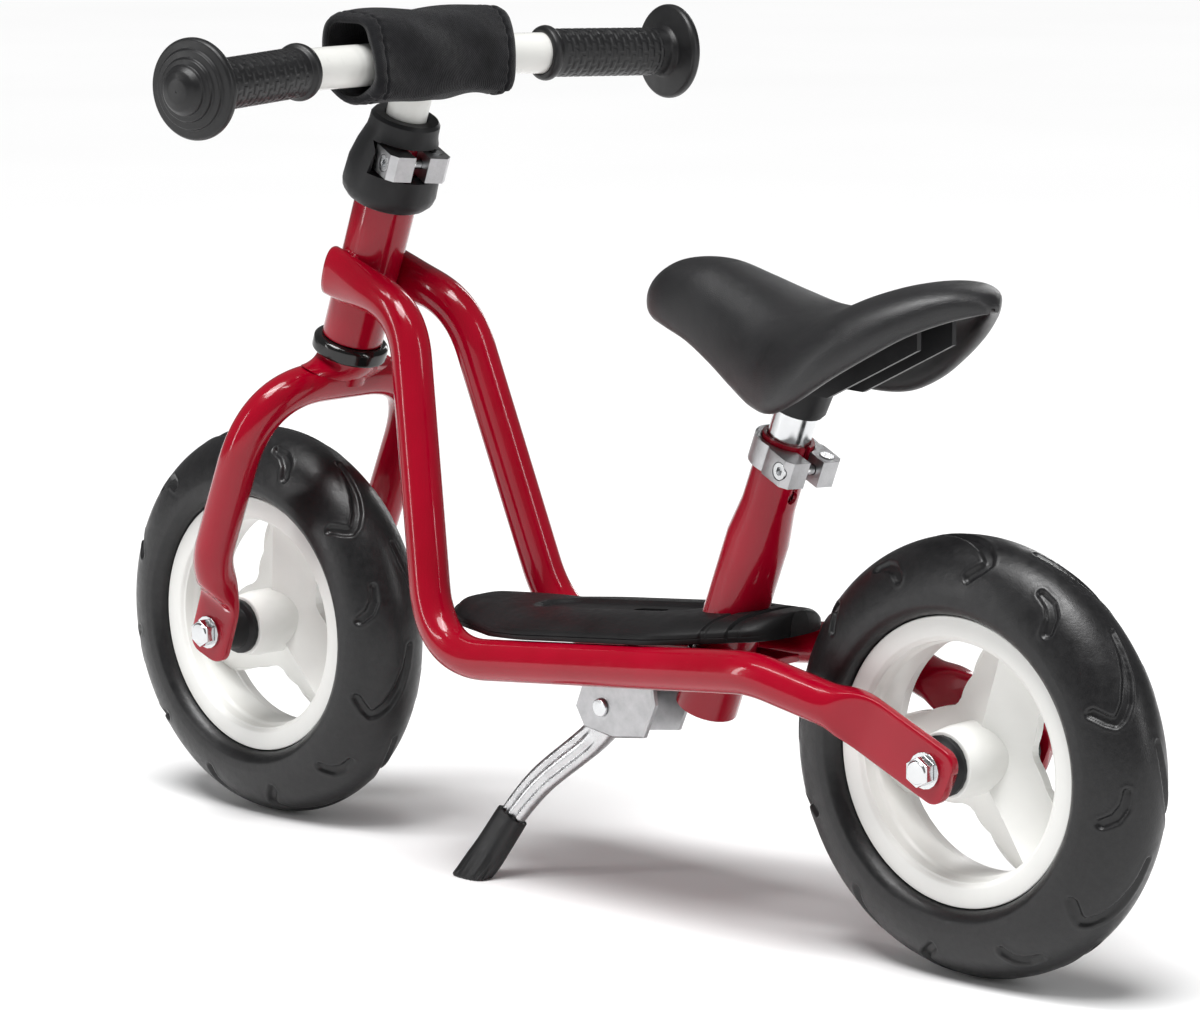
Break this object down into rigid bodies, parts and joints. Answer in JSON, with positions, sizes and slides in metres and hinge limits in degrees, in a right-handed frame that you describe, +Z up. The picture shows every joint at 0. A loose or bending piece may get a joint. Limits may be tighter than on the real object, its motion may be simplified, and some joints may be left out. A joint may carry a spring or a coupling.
{
  "type": "balance bike",
  "caption": "Child's balance bike without pedals: low twin-rail frame with a footboard, raked fork, padded handlebar, sprungless saddle, foam-tyred wheels and a fold-up kickstand.",
  "frame": {"origin": "on the ground, midway between the two axles, on the bike's centre plane", "axes": "+X forward, +Y to the rider's left, +Z up"},
  "size_m": [0.7136, 0.373, 0.4495],
  "materials": {
    "red_paint": "gloss powder coat with a clear top",
    "white_paint": "gloss powder coat",
    "rubber": "moulded, matte",
    "black_plastic": "fine moulded texture",
    "gloss_black": "polished",
    "black_fabric": "woven twill",
    "saddle_skin": "fine grained foam skin, satin",
    "zinc": "zinc plated",
    "cast_aluminium": "die cast, some faces bright",
    "tyre": "foam, satin",
    "white_plastic": "smooth moulded",
    "bearing_steel": "plain"
  },
  "bodies": {
    "frame": {"head_tube": "red_paint", "frame_tube_left": "red_paint", "frame_tube_right": "red_paint", "seat_tube": "red_paint", "seat_crossplate": "red_paint", "kickstand_crossplate": "red_paint", "footboard": "black_plastic", "seat_clamp": "cast_aluminium", "seat_clamp_bolt": "zinc", "seat_clamp_nut": "zinc", "kickstand_bracket": "cast_aluminium", "kickstand_pin": "zinc", "rear_axle": "zinc", "rear_hub_cover_left": "black_plastic", "rear_hub_cover_right": "black_plastic", "rear_axle_washer_left": "zinc", "rear_axle_washer_right": "zinc", "rear_axle_bolt_left": "zinc", "rear_axle_bolt_right": "zinc"},
    "fork": {"fork_blades": "red_paint", "fork_crown": "red_paint", "steerer_tube": "red_paint", "headset_lower_ring": "gloss_black", "headset_upper_ring": "gloss_black", "headset_cover": "black_plastic", "stem_clamp": "cast_aluminium", "stem_clamp_bolt": "zinc", "stem_clamp_nut": "zinc", "front_axle": "zinc", "front_hub_cover_left": "black_plastic", "front_hub_cover_right": "black_plastic", "front_axle_washer_left": "zinc", "front_axle_washer_right": "zinc", "front_axle_bolt_left": "zinc", "front_axle_bolt_right": "zinc"},
    "handlebar": {"handlebar_stem": "white_paint", "handlebar_crossbar": "white_paint", "grip_left": "rubber", "grip_right": "rubber", "bar_pad": "black_fabric"},
    "seat": {"seat_post": "zinc", "saddle_base": "black_plastic", "saddle_shell": "saddle_skin"},
    "front_wheel": {"front_tyre": "tyre", "front_rim": "white_plastic", "front_bearing_left": "bearing_steel", "front_bearing_right": "bearing_steel"},
    "rear_wheel": {"rear_tyre": "tyre", "rear_rim": "white_plastic", "rear_bearing_left": "bearing_steel", "rear_bearing_right": "bearing_steel"},
    "kickstand": {"kickstand_leg": "cast_aluminium", "kickstand_foot": "rubber"}
  },
  "joints": [
    {"name": "steering", "type": "hinge", "parent": "frame", "child": "fork", "pos_m": [0.1849, 0, 0.2708], "axis": [-0.342, 0, 0.9397], "range_deg": [-40, 40]},
    {"name": "handlebar_height", "type": "slide", "parent": "fork", "child": "handlebar", "axis": [-0.342, 0, 0.9397], "range_m": [0, 0.045]},
    {"name": "saddle_height", "type": "slide", "parent": "frame", "child": "seat", "axis": [-0.3584, 0, 0.9336], "range_m": [0, 0.05]},
    {"name": "front_wheel_spin", "type": "hinge", "parent": "fork", "child": "front_wheel", "pos_m": [0.25, 0, 0.1075], "axis": [0, 1, 0], "continuous": true},
    {"name": "rear_wheel_spin", "type": "hinge", "parent": "frame", "child": "rear_wheel", "pos_m": [-0.25, 0, 0.1075], "axis": [0, 1, 0], "continuous": true},
    {"name": "kickstand_fold", "type": "hinge", "parent": "frame", "child": "kickstand", "pos_m": [-0.014, 0, 0.099], "axis": [0, 1, 0], "range_deg": [0, 95]}
  ]
}
